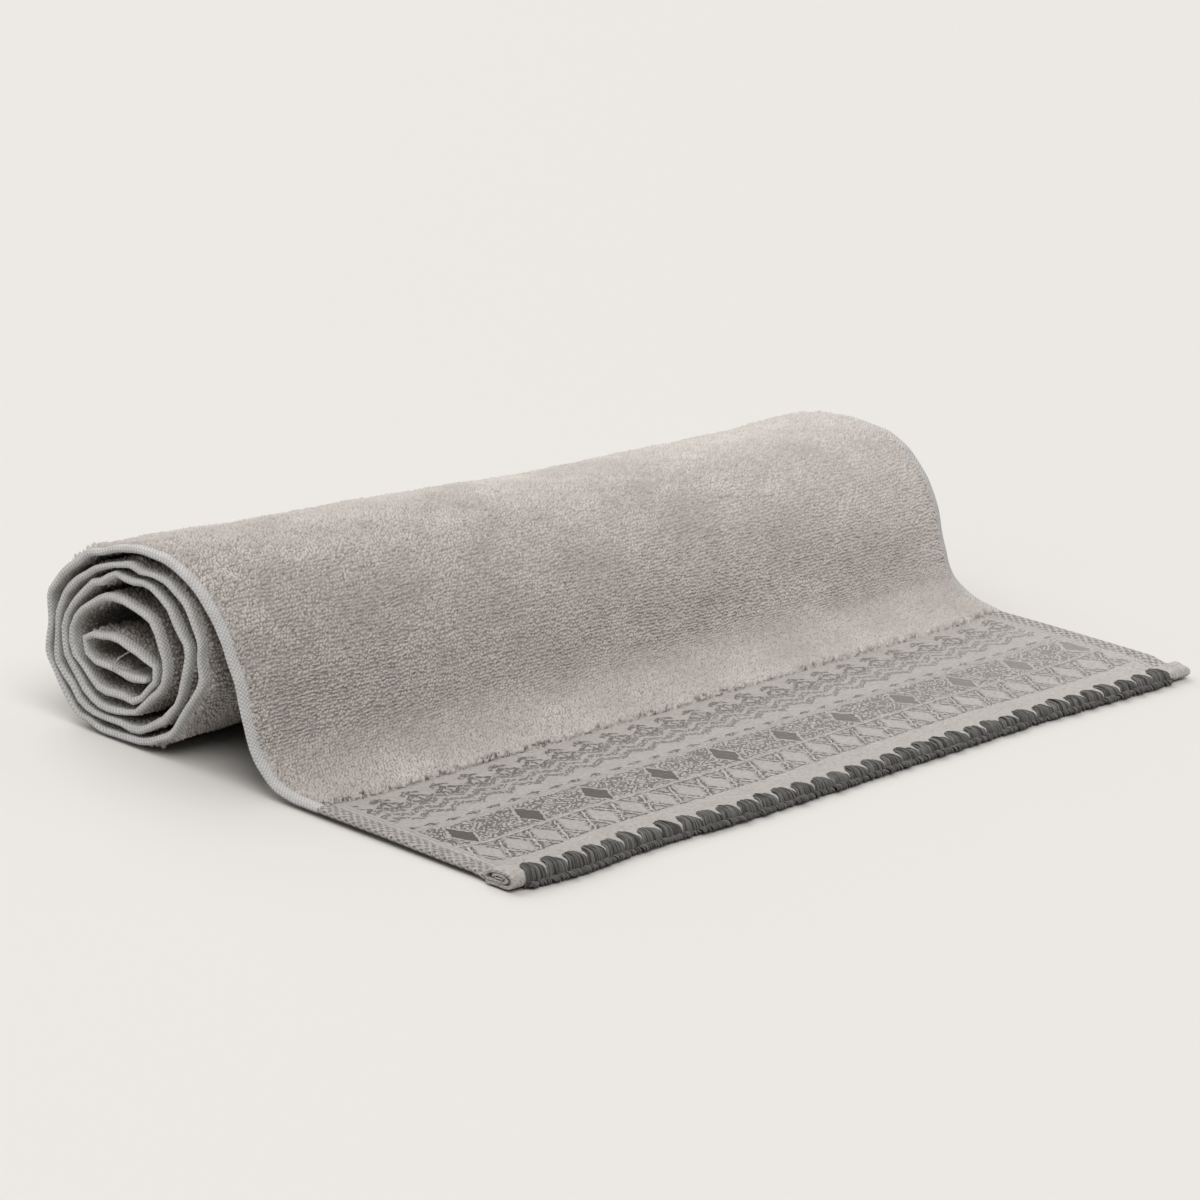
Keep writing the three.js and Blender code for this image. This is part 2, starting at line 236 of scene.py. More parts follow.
def faceHeights(u, v):  # the heights of the cloth's under and upper face
    fromSide, fromStart, fromEnd = half - np.abs(u), v, clothLong - v
    fromEdge = np.minimum(np.minimum(fromSide, fromStart), fromEnd)
    pile = np.minimum(
        ease(fromSide, towel["sideHemWide"], towel["sideHemWide"] + towel["foldStep"]),
        np.minimum(
            ease(fromStart, towel["borderLong"], towel["borderLong"] + towel["foldStep"]),
            ease(fromEnd, towel["endHemWide"], towel["endHemWide"] + towel["foldStep"]),
        ),
    )
    endHem = 1 - ease(fromStart, towel["endHemWide"], towel["endHemWide"] + towel["foldStep"])
    flat = np.maximum(endHem, 1 - ease(fromSide, towel["sideHemWide"], towel["sideHemWide"] + 1))
    flatThick = towel["borderThick"] + (towel["hemThick"] - towel["borderThick"]) * flat
    folded = (v > towel["borderLong"] + 1).astype(float)
    wound = 1 - ease(fromEnd, towel["woundLong"], towel["woundLong"] + towel["woundStep"])
    pileTop = towel["pileThick"] + (towel["woundThick"] - towel["pileThick"]) * wound - towel["pileUnder"]
    foldLow, foldHigh = towel["foldLow"] * folded, flatThick + (towel["foldHigh"] - flatThick) * folded
    low = foldLow + (-towel["pileUnder"] - foldLow) * pile
    rolled = alongValue("rolled", u) * (1 - ease(v, towel["endHemWide"] - 3, towel["endHemWide"] + 1))
    high = foldHigh + (pileTop - foldHigh) * pile + rolled
    middle = (low + high) / 2
    front = np.minimum(towel["rollRound"], (high - low) / 2)
    side = np.minimum(towel["sideRound"], (high - low) / 2)
    inset = np.clip(1 - np.minimum(fromEdge / side, fromStart / front), 0, 1)
    full = np.sqrt(1 - inset ** 2)
    return middle + (low - middle) * full, middle + (high - middle) * full


sheet = dict(
    sideSteps=(0, 0.08, 0.3, 0.7, 1.2, 2.2, 3.4, 4.2, 4.6, 4.9, 5.2, 5.6, 6.8),
    acrossStep=3.7, borderStep=1.7, outerStep=3.0, woundStep=5.2,
    loopStand=0.45,  # how much of the pile's height the loops themselves take
    edgeTurn=2.1,  # how far u runs on round the side edges, from the upper face to the under one
)


def spaced(start, end, step):
    return np.linspace(start, end, max(2, round((end - start) / step) + 1))


def sheetPlaces():  # where the pattern's columns and rows lie
    edge = np.array(sheet["sideSteps"])
    inner = half - edge[-1]
    between = spaced(-inner, inner, sheet["acrossStep"])[1:-1]
    columns = np.concatenate([edge - half, between, half - edge[::-1]])
    lead = np.array([0, 0.08, 0.3, 0.7, 1.2, 1.8, 2.5, 3.4, 4.6])
    borderEnd = towel["borderLong"]
    woundStart = clothLong - towel["woundLong"]
    rows = np.concatenate([
        lead,
        spaced(lead[-1], borderEnd, sheet["borderStep"])[1:],
        [borderEnd + 0.4, borderEnd + 0.8, borderEnd + 1.2],
        spaced(borderEnd + 1.2, woundStart, sheet["outerStep"])[1:],
        spaced(woundStart, clothLong - 14, sheet["woundStep"])[1:],
        clothLong - np.array([13.2, 12.6, 12, 8, 4, 2.4, 1.2, 0.7, 0.3, 0.08, 0]),
    ])
    return columns, rows


def finishMesh(name, mesh, *materials):
    piece = bpy.data.objects.new(name, mesh)
    bpy.context.scene.collection.objects.link(piece)
    for material in materials:
        mesh.materials.append(material)
    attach(piece, "root")
    return piece


def readPoints(mesh):
    points = np.empty(len(mesh.vertices) * 3, np.float32)
    mesh.vertices.foreach_get("co", points)
    return points.reshape(-1, 3).astype(float)


def writePoints(mesh, points):
    mesh.vertices.foreach_set("co", points.astype(np.float32).ravel())
    mesh.update()


def keepPattern(mesh, pattern):  # the flat pattern becomes the UV map, in metres
    layer = mesh.uv_layers.new(name="pattern")
    corners = np.empty(len(mesh.loops), np.int32)
    mesh.loops.foreach_get("vertex_index", corners)
    layer.data.foreach_set("uv", (pattern[corners, :2] * mm).astype(np.float32).ravel())


def makeCloth(materials):
    columns, rows = sheetPlaces()
    bm = bmesh.new()
    for level in (1, 0):
        made = bmesh.ops.create_grid(bm, x_segments=len(columns) - 1, y_segments=len(rows) - 1, size=1)
        for vert in made["verts"]:
            vert.co.z = level
        if level == 0:
            faces = list({face for vert in made["verts"] for face in vert.link_faces})
            bmesh.ops.reverse_faces(bm, faces=faces)
    rim = [edge for edge in bm.edges if edge.is_boundary]
    bmesh.ops.bridge_loops(bm, edges=rim)
    bmesh.ops.recalc_face_normals(bm, faces=bm.faces[:])
    mesh = bpy.data.meshes.new("towelCloth")
    bm.to_mesh(mesh)
    bm.free()
    flat = readPoints(mesh)
    u = np.interp(flat[:, 0], np.linspace(-1, 1, len(columns)), columns)
    v = np.interp(flat[:, 1], np.linspace(-1, 1, len(rows)), rows)
    low, high = faceHeights(u, v)
    pile = pileShare(u, v)
    high = high - sheet["loopStand"] * pile + groundLumps(u, v) * pile
    h = low + (high - low) * flat[:, 2]
    pattern = np.stack([u, v, h], 1)
    roundEdge = np.sign(u) * (2 * half + sheet["edgeTurn"] - np.abs(u))
    keepPattern(mesh, np.stack([np.where(flat[:, 2] > 0.5, u, roundEdge), v], 1))
    writePoints(mesh, rollUp(pattern))
    mesh.polygons.foreach_set("use_smooth", [True] * len(mesh.polygons))
    cloth = finishMesh("towelCloth", mesh, *materials)
    paintRegions(mesh, pattern)
    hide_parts("towel")
    return cloth


def pileShare(u, v):
    return ((half - np.abs(u) > towel["sideHemWide"] + 0.3) & (v > towel["borderLong"] + 0.3)
            & (clothLong - v > towel["endHemWide"] + 0.3)).astype(float)


def paintRegions(mesh, pattern):  # material 0 is the terry's ground, 1 the hems, 2 the border
    corners = np.empty(len(mesh.loops), np.int32)
    mesh.loops.foreach_get("vertex_index", corners)
    starts = np.empty(len(mesh.polygons), np.int32)
    mesh.polygons.foreach_get("loop_start", starts)
    centre = np.add.reduceat(pattern[corners], starts) / np.diff(np.append(starts, len(corners)))[:, None]
    u, v = centre[:, 0], centre[:, 1]
    hem = (half - np.abs(u) < towel["sideHemWide"]) & (v > towel["borderLong"])
    hem |= clothLong - v < towel["endHemWide"]
    border = v < towel["borderLong"]
    mesh.polygons.foreach_set("material_index", np.where(border, 2, np.where(hem, 1, 0)).astype(np.int32))


loops = dict(
    long=1.95, wide=1.0, tall=1.15, sink=0.3,
    lean=1.0, leanSpread=0.5, leanLocks=0.7, lockCell=9, leanDrift=0.5, driftCell=33,
    sizeSpread=0.18, tallSpread=0.2, placeSpread=0.35, rowWobble=0.8, seed=11,
    rowPitch=1.38, alongPitch=1.3,
    overHem=0.5,  # how far they reach over the side hems' seams
    underStand=0.6,  # the share of the ground's drop under them that the inner face has
)
# the stretches of the cloth that carry loops, one piece each, named by what they lie on
pileRows = [
    dict(name="terryDrop", start="drop", end="brow", pitch=1.16, side=1),
    dict(name="terryTop", start="brow", end="back", pitch=1.16, side=1),
    dict(name="terryUnder", start="back", end="low", pitch=1.35, side=1),
]


def loopShape():  # one loop as a low ridge: its ends, its sides and its crest
    bm = bmesh.new()
    spots = [(-0.5, 0, 0), (0.5, 0, 0), (0, -0.5, 0), (0, 0.5, 0), (-0.17, 0, 1), (0.17, 0, 1)]
    first, last, right, left, back, fore = [bm.verts.new(spot) for spot in spots]
    for corners in ((first, right, back), (right, fore, back), (right, last, fore),
                    (first, back, left), (left, back, fore), (left, fore, last)):
        bm.faces.new(corners)
    bmesh.ops.recalc_face_normals(bm, faces=bm.faces[:])
    mesh = bpy.data.meshes.new("loopShape")
    bm.to_mesh(mesh)
    bm.free()
    return mesh


def joinCopies(name, shape, faces, count, pattern, material, flip=False):
    joined = (faces[None] + (np.arange(count) * shape)[:, None, None]).reshape(-1, faces.shape[1])
    if flip:
        joined = joined[:, ::-1]
    mesh = bpy.data.meshes.new(name)
    mesh.vertices.add(len(pattern))
    mesh.loops.add(joined.size)
    mesh.polygons.add(len(joined))
    mesh.loops.foreach_set("vertex_index", joined.astype(np.int32).ravel())
    mesh.polygons.foreach_set("loop_start", np.arange(0, joined.size, faces.shape[1], dtype=np.int32))
    mesh.update(calc_edges=True)
    keepPattern(mesh, pattern)
    writePoints(mesh, rollUp(pattern))
    mesh.polygons.foreach_set("use_smooth", [True] * len(joined))
    mesh.validate()
    return finishMesh(name, mesh, material)


def growLoops(name, places, side, material, seed, grow=1.0, tall=1.0):
    # one joined mesh with a copy of the loop at each place of the pattern
    rng = np.random.default_rng(seed)
    one = loopShape()
    shape = readPoints(one)
    faces = np.array([face.vertices[:] for face in one.polygons])
    bpy.data.meshes.remove(one)
    count = len(places)
    u, v = places.T
    lean = loops["lean"] + loops["leanSpread"] * rng.normal(size=count)
    lean += loops["leanLocks"] * softNoise(u, v, loops["lockCell"], seed + 1)
    lean += loops["leanDrift"] * softNoise(u, v, loops["driftCell"], seed + 2)
    size = grow * (1 + loops["sizeSpread"] * rng.normal(size=count).clip(-2, 2))
    low, high = faceHeights(u, v)
    if side > 0:
        base = high - sheet["loopStand"] + groundLumps(u, v)
    else:
        base = low + sheet["loopStand"] * loops["underStand"]
    a = shape[None, :, 0] * (loops["long"] * size)[:, None]
    b = shape[None, :, 1] * (loops["wide"] * size)[:, None]
    heights = loops["tall"] * tall * (1 + loops["tallSpread"] * rng.normal(size=count).clip(-2, 2))
    h = base[:, None] + side * (shape[None, :, 2] * heights[:, None] - loops["sink"])
    cos, sin = np.cos(lean)[:, None], np.sin(lean)[:, None]
    pattern = np.stack([u[:, None] + a * cos - b * sin, v[:, None] + a * sin + b * cos, h], 2)
    piece = joinCopies(name, len(shape), faces, count, pattern.reshape(-1, 3), material, side < 0)
    # each point's share of its loop's height, from root to crest, which the terry material reads to paint
    # shade at the roots
    crests = piece.data.attributes.new("loopCrest", "FLOAT", "POINT")
    crests.data.foreach_set("value", np.tile(shape[:, 2], count).astype(np.float32))
    return piece


def groundLumps(u, v):
    return 0.3 * softNoise(u, v, 7, 3) + 0.3 * softNoise(u, v, 24, 4)


def loopPlaces(uRange, vRange, pitch, seed):
    rng = np.random.default_rng(seed)
    u = np.arange(uRange[0], uRange[1], loops["alongPitch"] * pitch)
    rowPitch = loops["rowPitch"] * pitch
    v = np.arange(vRange[0] + rowPitch / 2, vRange[1], rowPitch)
    grid = np.stack(np.meshgrid(u, v), 2)
    grid[1::2, :, 0] += loops["alongPitch"] * pitch / 2
    grid += rng.uniform(-1, 1, grid.shape) * loops["placeSpread"] * pitch
    grid[..., 1] += loops["rowWobble"] * softNoise(grid[..., 0], grid[..., 1], 6, loops["seed"])
    return grid.reshape(-1, 2)


def placesAlong():  # how far along the cloth the named places of the outer turn lie
    crest = np.argmax(nearLine[:, 1])
    back = np.argmax(nearLine[:, 0])
    low = back + np.argmin(nearLine[back:back + 2 * towel["ovalSteps"], 1])
    return dict(
        drop=towel["borderLong"] + 0.6,
        brow=alongLine[crest] - 24,
        back=alongLine[back], low=alongLine[low], second=alongLine[low + 2 * towel["ovalSteps"]],
    )


loopReach = half - towel["sideHemWide"] + loops["overHem"]


def makePile(material):
    at = placesAlong()
    pieces = []
    for i, row in enumerate(pileRows):
        span = at[row["start"]], at[row["end"]]
        places = loopPlaces((-loopReach, loopReach), span, row["pitch"], loops["seed"] + 10 * i)
        seed = loops["seed"] + i
        pieces.append(growLoops(row["name"], places, row["side"], material, seed, row["pitch"]))
        print(row["name"], len(places), "loops")
    return pieces + makeEndStrips(at, material) + [makeSeamLoops(at, material)]


# where the turns show from the ends of the roll: how wide the strips of loops are, and their pitch
endStrips = dict(
    wide=70, pitch=1.2, coreWide=16, corePitch=1.5, beforeEnd=14, grow=1.2,
    turnSeed=41, coreSeed=42, innerSeed=43, outerLoopSeed=51, innerLoopSeed=52,
)


def stripPlaces(edge, wide, span, pitch, seed):
    return loopPlaces(sorted((edge * loopReach, edge * (loopReach - wide))), span, pitch, seed)


def makeEndStrips(at, material):
    last = clothLong - endStrips["beforeEnd"]
    wide, pitch = endStrips["wide"], endStrips["pitch"]
    coreWide, corePitch = endStrips["coreWide"], endStrips["corePitch"]
    outer, inner = [], []
    for edge in (-1, 1):
        outer.append(stripPlaces(edge, wide, (at["low"], at["second"]), pitch, endStrips["turnSeed"]))
        outer.append(stripPlaces(edge, coreWide, (at["second"], last), corePitch, endStrips["coreSeed"]))
        inner.append(stripPlaces(edge, coreWide, (at["drop"], last), corePitch, endStrips["innerSeed"]))
    pieces = []
    for name, strips, side, seed in (("terryEndsOuter", outer, 1, endStrips["outerLoopSeed"]),
                                     ("terryEndsInner", inner, -1, endStrips["innerLoopSeed"])):
        places = np.vstack(strips)
        pieces.append(growLoops(name, places, side, material, seed, endStrips["grow"]))
        print(name, len(places), "loops")
    return pieces


seamLoops = dict(pitch=1.7, grow=1.3, tall=1.5, seed=61)


def makeSeamLoops(at, material):  # the larger loops that stand along the side hems' seams
    rng = np.random.default_rng(seamLoops["seed"])
    v = np.arange(at["drop"], at["second"], seamLoops["pitch"])
    v = np.concatenate([v, v + seamLoops["pitch"] / 2])
    rows = []
    for edge in (-1, 1):
        u = edge * (half - towel["sideHemWide"] - rng.uniform(-0.9, 0.9, len(v)))
        rows.append(np.stack([u, v + rng.uniform(-0.5, 0.5, len(v))], 1))
    u = np.arange(-half + towel["sideHemWide"], half - towel["sideHemWide"], seamLoops["pitch"])
    u = u + rng.uniform(-0.6, 0.6, len(u))
    rows.append(np.stack([u, at["drop"] + rng.uniform(-0.7, 1.2, len(u))], 1))
    return growLoops("seamLoops", np.vstack(rows), 1, material, seamLoops["seed"], seamLoops["grow"],
                     seamLoops["tall"])


class Field:  # a number that varies over the cloth, as a socket of the material's node tree
    def __init__(self, tree, socket):
        self.tree, self.socket = tree, socket

    def math(self, operation, *others):
        node = self.tree.nodes.new("ShaderNodeMath")
        node.operation = operation
        for slot, value in zip(node.inputs, (self, *others)):
            if isinstance(value, Field):
                self.tree.links.new(value.socket, slot)
            else:
                slot.default_value = value
        return Field(self.tree, node.outputs[0])

    def __add__(self, other):
        return self.math("ADD", other)

    def __sub__(self, other):
        return self.math("SUBTRACT", other)

    def __mul__(self, other):
        return self.math("MULTIPLY", other)

    def __truediv__(self, other):
        return self.math("DIVIDE", other)

    def size(self):
        return self.math("ABSOLUTE")

    def least(self, other):
        return self.math("MINIMUM", other)

    def most(self, other):
        return self.math("MAXIMUM", other)

    def inverse(self):
        return (self * -1) + 1

    def sway(self, pitch):  # a sine between -1 and 1
        return (self * (2 * math.pi / pitch)).math("SINE")

    def wave(self, pitch):  # a sine between 0 and 1
        return self.sway(pitch) * 0.5 + 0.5

    def fromCentre(self, pitch, first=0.0):  # signed distance from the nearest of evenly spaced places
        shifted = (self - (first - pitch / 2)) / pitch
        return (shifted.math("FRACT") - 0.5) * pitch

    def band(self, low, high, soft=0.3):  # 1 between two values, 0 outside
        rise = ((self - low) / soft + 0.5).math("MAXIMUM", 0)
        fall = (((self * -1) + high) / soft + 0.5).math("MAXIMUM", 0)
        return rise.least(fall).least(1)

    def above(self, level, soft=0.3):
        return ((self - level) / soft + 0.5).math("MAXIMUM", 0).least(1)


def patternFields(tree):  # u and v of the flat pattern, in millimetres
    nodes, links = tree.nodes, tree.links
    layer = nodes.new("ShaderNodeUVMap")
    layer.uv_map = "pattern"
    split = nodes.new("ShaderNodeSeparateXYZ")
    links.new(layer.outputs["UV"], split.inputs[0])
    return Field(tree, split.outputs["X"]) * 1000, Field(tree, split.outputs["Y"]) * 1000


def noiseField(u, v, cell, detail=1.0, stretch=1.0):  # soft noise between 0 and 1
    nodes, links = u.tree.nodes, u.tree.links
    join = nodes.new("ShaderNodeCombineXYZ")
    links.new((u / (cell * stretch)).socket, join.inputs["X"])
    links.new((v / cell).socket, join.inputs["Y"])
    noise = nodes.new("ShaderNodeTexNoise")
    noise.inputs["Scale"].default_value = 1.0
    noise.inputs["Detail"].default_value = detail
    links.new(join.outputs[0], noise.inputs["Vector"])
    return Field(u.tree, noise.outputs["Fac"])


def newMaterial(name, color, roughness=0.95):
    material = bpy.data.materials.new(name)
    material.use_nodes = True
    shader = material.node_tree.nodes["Principled BSDF"]
    shader.inputs["Base Color"].default_value = (*color, 1)
    shader.inputs["Roughness"].default_value = roughness
    return material


def attributeField(tree, name):
    node = tree.nodes.new("ShaderNodeAttribute")
    node.attribute_name = name
    return Field(tree, node.outputs["Fac"])


def blendColor(material, dark, light, amount, middle=None):  # amount 0 gives dark, 1 gives light
    tree = material.node_tree
    ramp = tree.nodes.new("ShaderNodeValToRGB")
    if middle:
        place, color = middle
        ramp.color_ramp.elements.new(place).color = (*color, 1)
    ramp.color_ramp.elements[0].color = (*dark, 1)
    ramp.color_ramp.elements[-1].color = (*light, 1)
    tree.links.new(amount.socket, ramp.inputs["Fac"])
    tree.links.new(ramp.outputs["Color"], tree.nodes["Principled BSDF"].inputs["Base Color"])


def addRelief(material, height, deep):  # height between 0 and 1, deep in millimetres
    tree = material.node_tree
    bump = tree.nodes.new("ShaderNodeBump")
    bump.inputs["Strength"].default_value = 1.0
    bump.inputs["Distance"].default_value = deep * mm
    tree.links.new(height.socket, bump.inputs["Height"])
    tree.links.new(bump.outputs["Normal"], tree.nodes["Principled BSDF"].inputs["Normal"])


cottons = dict(
    # paintedLoopShade is painted shade, at the loops' roots and between the first loops by the border
    paintedLoopShade=(0.10, 0.088, 0.080), loopDark=(0.375, 0.343, 0.320), loopLight=(0.60, 0.564, 0.538),
    # groundCreviceShade is painted shade, the dark marks between the loops
    groundCreviceShade=(0.22, 0.199, 0.184), groundLight=(0.50, 0.468, 0.445),
    canvasDark=(0.17, 0.167, 0.166), canvasLight=(0.57, 0.565, 0.562),
    wovenDark=(0.095, 0.083, 0.076), wovenLight=(0.455, 0.431, 0.409),
    yarnDark=(0.016, 0.0155, 0.0145), yarnLight=(0.17, 0.165, 0.157),
)


def makeTerry():
    material = newMaterial("terryLoops", cottons["loopLight"])
    u, v = patternFields(material.node_tree)
    crest = attributeField(material.node_tree, "loopCrest")
    # random patches of tone; the u term is painted light, brighter towards the far end
    patches = noiseField(u, v, 34, 2.0) * 0.8 + noiseField(u, v, 5, 1.0) * 0.4 + u * 0.0010
    # painted shade between the first loops, where they stand over the border
    firstRowsShade = v.band(0, towel["borderLong"] + 3.2, 1.5) * noiseField(u, v, 3.0, 1.0).above(0.52, 0.12)
    # crest paints shade at the loops' roots, less of it towards the far end
    shade = patches + crest * (u * -0.0006 + 0.2) - firstRowsShade * 0.5
    blendColor(material, cottons["paintedLoopShade"], cottons["loopLight"], shade, (0.3, cottons["loopDark"]))
    return material


def makeGround():
    material = newMaterial("terryGround", cottons["groundLight"])
    u, v = patternFields(material.node_tree)
    # the dark marks between the loops are painted shade; the u term is painted light, brighter towards the
    # far end
    patches = (noiseField(u, v, 2.2, 1.0) - 0.5) * 1.6 + 0.55 + u * 0.0015
    blendColor(material, cottons["groundCreviceShade"], cottons["groundLight"], patches)
    addRelief(material, noiseField(u, v, 1.1, 1.0), 0.6)
    return material


canvasWeave = dict(across=1.8, along=1.6)


def makeCanvas():
    material = newMaterial("hemCanvas", cottons["canvasLight"])
    u, v = patternFields(material.node_tree)
    weave = u.sway(canvasWeave["across"]) * v.sway(canvasWeave["along"]) * 0.5 + 0.5
    uneven = noiseField(u, v, 6, 2.0) * 0.5 + 0.55
    fromSide = (u.size() * -1) + half
    # painted shade along the side hems' seams, where the loops stand over the canvas
    seamShade = fromSide.band(towel["sideHemWide"] - 0.5, towel["sideHemWide"] + 1, 0.4) * -0.35
    light = (weave * 0.7 + 0.42) * uneven + seamShade + 0.12
    blendColor(material, cottons["canvasDark"], cottons["canvasLight"], light)
    addRelief(material, weave, 0.3)
    return material


# the woven border's rows, by their distance from the hem's edge, and the pitch of what they repeat
border = dict(
    mesh=7.6, dotsAcross=3.3, dotsAlong=4.0, patternSide=187.5, wobble=1.9,
    hexLow=24.4, hexHigh=42.4, hexPitch=15.44, hexFirst=-157.8, hexSlope=0.58,
    lowLine=43.3, lozengeLow=44.2, lozengeHigh=64.2, lozengePitch=36.1, lozengeFirst=-175.4,
    lozengeMiddle=52.8, lozengeAcross=5.4, lozengeAlong=8.7,  # these two are half sizes, as the next are
    highLine=65.6, dashMiddle=68.2, dashPitch=11.0, dashAcross=4.0, dashAlong=1.3,
    zigLow=72.8, zigRise=4.4, zigStep=5.2, zigHigh=16.4,
    ringPitch=15.57, ringFirst=-127.2, ringMiddle=92.6, ringAcross=6.9, ringAlong=5.0, chevron=101.8,
)


def unfoldedSide(u):  # u counted back from the cloth's rounded edge, on the under face too
    turned = half + sheet["edgeTurn"] / 2
    return ((((u.size() - turned).size()) * -1) + turned) * u.math("SIGN")


def borderPatterns(u, v):
    # two fields: how dark the weave is, lightened by painted light towards the far end, and how high it
    # stands
    edgeU, plainU, plainV = u, unfoldedSide(u), v
    u = plainU + (noiseField(plainU, plainV, 2.4, 0.0) - 0.5) * border["wobble"]
    v = v + (noiseField(plainV, plainU, 2.6, 0.0) - 0.5) * border["wobble"]
    slantU, slantV = u * 0.8 + v * 0.6, v * 0.8 - u * 0.6
    speck = noiseField(slantU, slantV, 1.1, 0.0, 1.7)
    dashes = speck.above(0.46, 0.1)
    # the u term fades the lozenges' stripes towards the far end: painted light
    fine = (u + v * 0.6).wave(1.6) * 0.3 + 0.76 - u * 0.0009
    worms = (noiseField(slantU, slantV, 1.8, 0.0, 1.3) - 0.5).size().band(-1, 0.085, 0.05)

    fromMiddle = v - (border["hexLow"] + border["hexHigh"]) / 2
    across = u.fromCentre(border["hexPitch"], border["hexFirst"]).size()
    outside = across - fromMiddle.size() * border["hexSlope"]
    hexDark = outside.band(-2.4, -0.9).most(outside.band(0.7, 1.8))
    hexDark = hexDark.most(fromMiddle.size().band(8.1, 8.9) * outside.band(-9, 0.6))
    hexRow = v.band(border["hexLow"], border["hexHigh"])
    hexFill = outside.band(-9, -0.9) * worms * hexRow
    ribs = outside.band(-0.7, 0.5) * hexRow
    insides = outside.band(2.4, 20) * hexRow

    aside = u.fromCentre(border["lozengePitch"], border["lozengeFirst"]).size() / border["lozengeAcross"]
    lozenge = aside + (v - border["lozengeMiddle"]).size() / border["lozengeAlong"]
    inLozenge = lozenge.band(-1, 1.0, 0.12)
    around = lozenge.above(1.25, 0.1) * v.band(border["lozengeLow"] + 0.6, border["lozengeHigh"] - 0.6)

    dashRow = u.fromCentre(border["dashPitch"]).size() / border["dashAcross"]
    dashDark = (dashRow + (v - border["dashMiddle"]).size() / border["dashAlong"]).band(-1, 1, 0.3)

    besideRing = u.fromCentre(border["ringPitch"], border["ringFirst"]).size()
    climb = v - besideRing * (2 * border["zigRise"] / border["ringPitch"]) - border["zigLow"]
    zigzag = climb.fromCentre(border["zigStep"], border["zigStep"] * 0.55).size().band(-1, 1.55)
    zigzag = zigzag * climb.band(0.6, border["zigHigh"])
    ring = besideRing / border["ringAcross"] + (v - border["ringMiddle"]).size() / border["ringAlong"]
    rings = ring.band(0.58, 1.05, 0.12).most(ring.band(-1, 0.7, 0.1) * besideRing.band(-1, 0.6))
    caps = (v + besideRing * 0.62).band(border["chevron"] - 2.2, border["chevron"]) * besideRing.band(-1, 4.6)
    caps = caps.most(besideRing.band(-1, 1.6) * v.band(border["ringMiddle"] + 5.6, border["chevron"] - 0.6))

    dark = (hexDark * hexRow).most(zigzag * 0.8) * (dashes * 0.8 + 0.1)
    dark = dark.most(rings.most(caps).most(dashDark) * (dashes * 0.5 + 0.4))
    dark = dark.most(hexFill * 0.4).most(worms * around * 0.85)
    rows = v.band(border["hexLow"], border["highLine"]).most(climb.band(0.6, border["zigHigh"]))
    dark = dark.most(speck.above(0.5, 0.2) * rows * ribs.inverse() * 0.18)
    dark = dark * ((plainU * 0.8 + plainV).wave(1.5) * 0.4 + 0.7)
    # the last factor fades the pattern towards the far end: painted light
    dark = dark.most(inLozenge * fine) * u.size().band(-1, border["patternSide"]) * (u * -0.0009 + 0.9)

    fromSide = (plainU.size() * -1) + half
    sideDots = edgeU.sway(border["dotsAcross"]) * plainV.sway(border["dotsAlong"])
    sideDots = (sideDots + noiseField(edgeU, plainV, 1.6, 0.0) * 1.1 - 0.55).above(0.22, 0.4)
    sideMesh = fromSide.band(-3, border["mesh"])
    plain = (plainU * 0.8 + plainV).wave(1.7) * noiseField(plainU, plainV, 1.4, 0.0)
    dark = dark.most(sideDots * sideMesh * v.above(13, 1) * 0.65).most(plain * 0.5)

    lines = v.band(border["lowLine"] - 0.6, border["lowLine"] + 0.6)
    lines = lines.most(v.band(border["highLine"] - 0.6, border["highLine"] + 0.6))
    lines = lines.most(fromSide.band(border["mesh"] + 0.6, border["mesh"] + 2.4) * 0.7)
    puffs = (noiseField(u, v, 2.6, 0.0) - 0.5) * 0.9
    height = (dark * -0.8) + 0.7 + (ribs.most(lines).most(insides * 0.5) * 0.8) + puffs
    return dark - (lines.most(ribs) * 0.2), height


def makeBorder():
    material = newMaterial("wovenBorder", cottons["wovenLight"])
    u, v = patternFields(material.node_tree)
    dark, height = borderPatterns(u, v)
    # the noise is random tone; the last term is painted light, lighter towards the far end
    uneven = noiseField(u, v, 14, 2.0) * 0.24 + 0.84 + unfoldedSide(u) * 0.0005
    blendColor(material, cottons["wovenDark"], cottons["wovenLight"], dark.inverse() * uneven)
    addRelief(material, height, 1.1)
    return material


def makeYarnMaterial():
    material = newMaterial("edgeYarn", cottons["yarnLight"])
    u, v = patternFields(material.node_tree)
    strand = attributeField(material.node_tree, "strandShade")
    fibre = noiseField(u * 2.2, v * 0.5, 1.0, 1.0) * 0.6 + strand * 0.8 - 0.22
    blendColor(material, cottons["yarnDark"], cottons["yarnLight"], fibre)
    return material


terry, ground, canvas, woven, yarn = makeTerry(), makeGround(), makeCanvas(), makeBorder(), makeYarnMaterial()

cloth = makeCloth([ground, canvas, woven])
print("cloth made")
pile = makePile(terry)
print("pile made")

stitch = dict(
    count=36, start=-194.4, end=184.0, reach=8.4, footWide=10.4, tipWide=6.7, lean=0.2,
    roundTip=0.3, strands=15, radius=0.35, under=5.0, sides=5, steps=16, seed=71,
    footAt=0.42, footSpread=0.25, reachSpread=0.08, ownSpread=0.3, sideSpread=0.12, thickSpread=0.12,
    puff=0.6, puffFall=0.7, puffSpread=0.22, gather=2.2, thinEnd=0.35,
)


